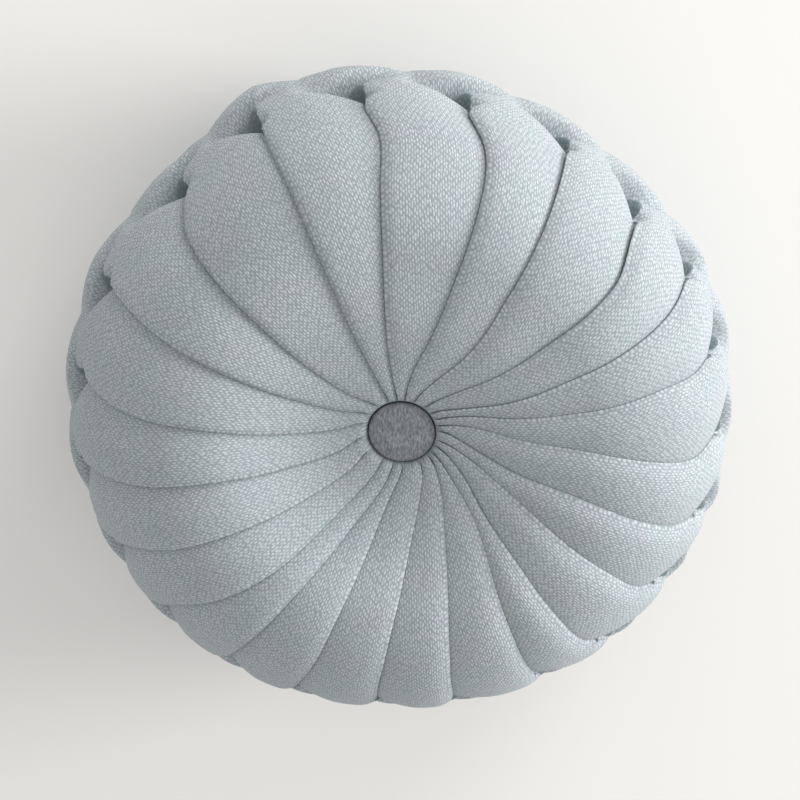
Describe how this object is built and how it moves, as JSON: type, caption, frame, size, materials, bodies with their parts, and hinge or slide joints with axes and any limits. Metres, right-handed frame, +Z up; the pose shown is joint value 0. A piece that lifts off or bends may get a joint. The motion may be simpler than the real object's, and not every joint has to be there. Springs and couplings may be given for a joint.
{
  "type": "round pleated cushion",
  "caption": "Round filled cushion with pleats drawn in to a covered button on each face, and pockets and slanting bands pinched round its rim.",
  "frame": {"origin": "under the middle of the cushion, on the surface that its back rests on", "axes": "+Z up, out of the front face; +X to the right and +Y to the top of the picture"},
  "size_m": [0.386, 0.387, 0.1576],
  "materials": {
    "pleated_cloth": "coarse blue-grey crepe weave with pale flecks, matt",
    "button_cloth": "finer darker warm-grey weave, matt"
  },
  "bodies": {
    "root": {"cushion": "pleated_cloth", "button_front": "button_cloth", "button_back": "button_cloth"}
  },
  "joints": []
}
